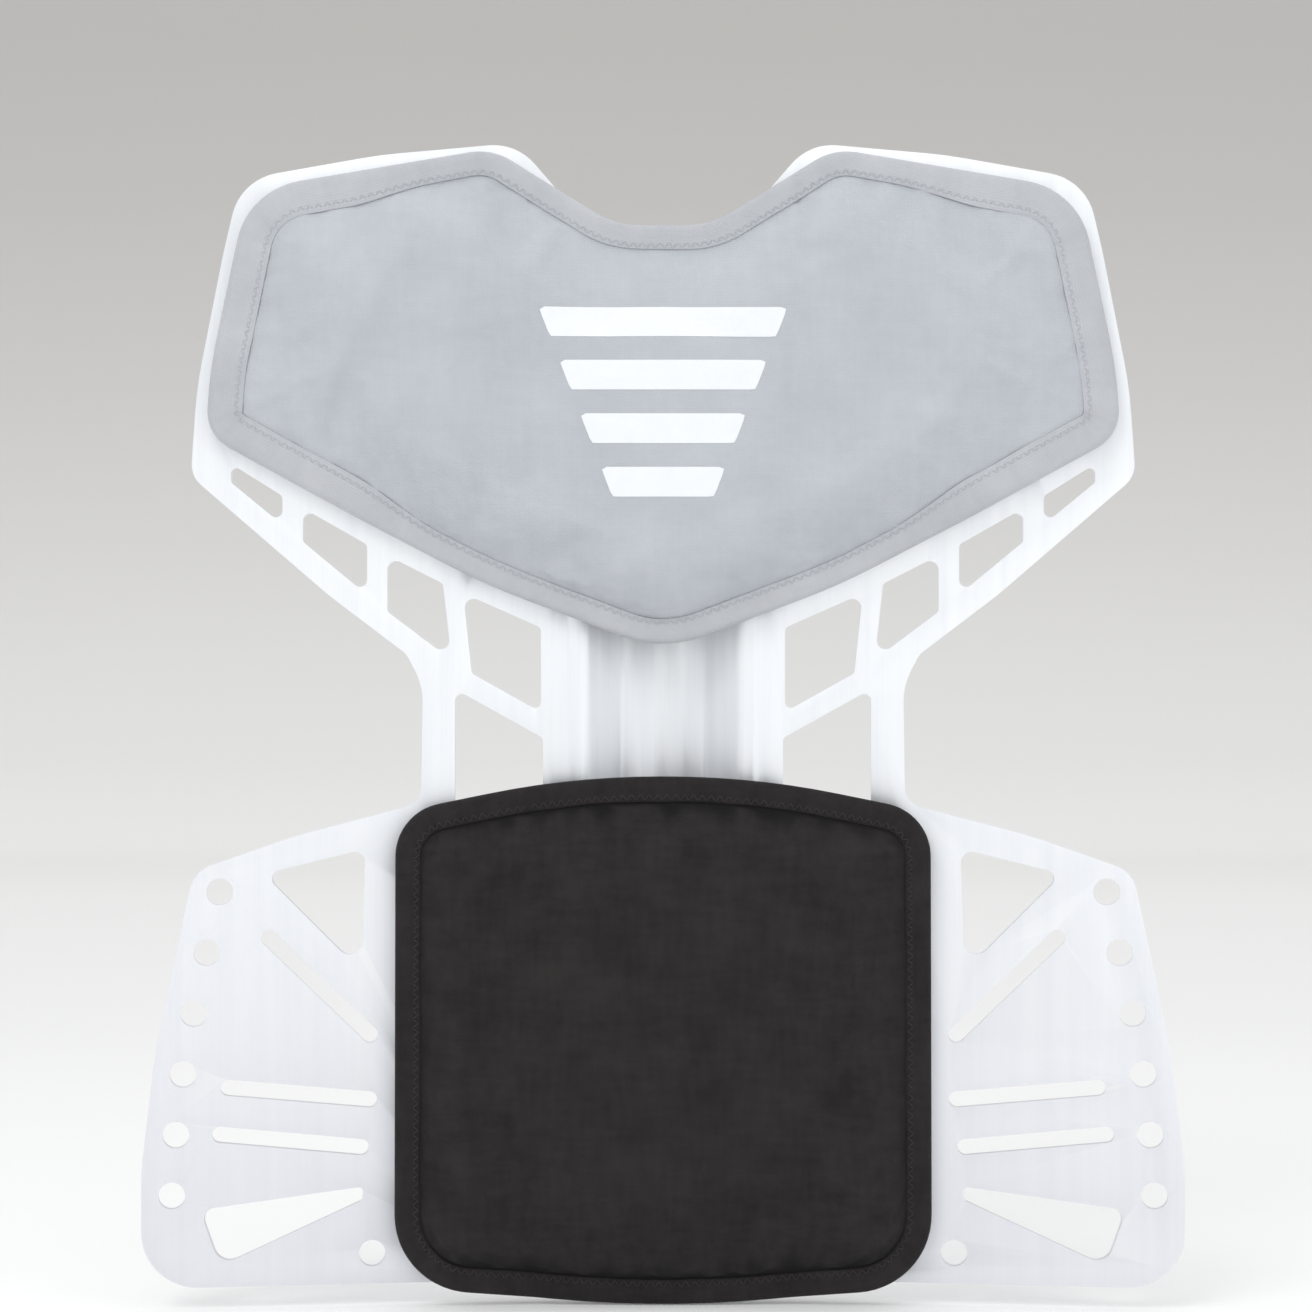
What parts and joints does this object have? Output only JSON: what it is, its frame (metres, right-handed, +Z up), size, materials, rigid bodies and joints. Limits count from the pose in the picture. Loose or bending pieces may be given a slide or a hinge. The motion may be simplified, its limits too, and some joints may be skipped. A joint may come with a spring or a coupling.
{
  "type": "padded harness backplate",
  "caption": "Bent light-metal backplate with a spine channel, webbing slots and open struts, carrying a padded shoulder panel and a padded lumbar panel held by press studs.",
  "frame": {"origin": "middle of the two cylinder bolt holes, on the rear face of the spine channel's floor", "axes": "+X across the back to the viewer's right in the picture, +Y away from the wearer towards the cylinder, +Z up the spine"},
  "size_m": [0.3512, 0.0447, 0.3946],
  "materials": {
    "plate_metal": "finely brushed along the spine, pale silver",
    "hardware_steel": "nickel-bright press studs, nuts and washers",
    "upper_fabric": "pale grey woven nylon with soft wrinkles",
    "upper_tape": "pale grey woven binding tape",
    "lumbar_fabric": "black woven nylon",
    "lumbar_tape": "black woven binding tape with zigzag stitches",
    "foam": "closed-cell foam",
    "stiffener_plastic": "matt sheet plastic",
    "liner_mesh": "dark spacer mesh",
    "hook_and_loop": "black hook-and-loop tape",
    "emblem_print": "thin white heat-transfer print"
  },
  "bodies": {
    "plate": {"backplate": "plate_metal", "upper_press_studs": "hardware_steel", "upper_stud_washers": "hardware_steel", "upper_stud_nuts": "hardware_steel", "lumbar_press_studs": "hardware_steel", "lumbar_stud_washers": "hardware_steel", "lumbar_stud_nuts": "hardware_steel", "upper_hook_patches": "hook_and_loop", "lumbar_hook_patches": "hook_and_loop"},
    "upper_pad": {"upper_pad_cover": "upper_fabric", "upper_pad_foam": "foam", "upper_pad_stiffener": "stiffener_plastic", "upper_pad_liner": "liner_mesh", "upper_pad_binding": "upper_tape", "upper_pad_emblem": "emblem_print", "upper_pad_loop_patches": "hook_and_loop", "upper_stud_sockets": "hardware_steel", "upper_socket_springs": "hardware_steel", "upper_socket_caps": "hardware_steel"},
    "lumbar_pad": {"lumbar_pad_cover": "lumbar_fabric", "lumbar_pad_foam": "foam", "lumbar_pad_stiffener": "stiffener_plastic", "lumbar_pad_liner": "liner_mesh", "lumbar_pad_binding": "lumbar_tape", "lumbar_pad_loop_patches": "hook_and_loop", "lumbar_stud_sockets": "hardware_steel", "lumbar_socket_springs": "hardware_steel", "lumbar_socket_caps": "hardware_steel"}
  },
  "joints": [
    {"name": "upper_pad_pull", "type": "slide", "parent": "plate", "child": "upper_pad", "axis": [0, -1, 0], "range_m": [0, 0.04]},
    {"name": "lumbar_pad_pull", "type": "slide", "parent": "plate", "child": "lumbar_pad", "axis": [0, -1, 0], "range_m": [0, 0.04]}
  ]
}
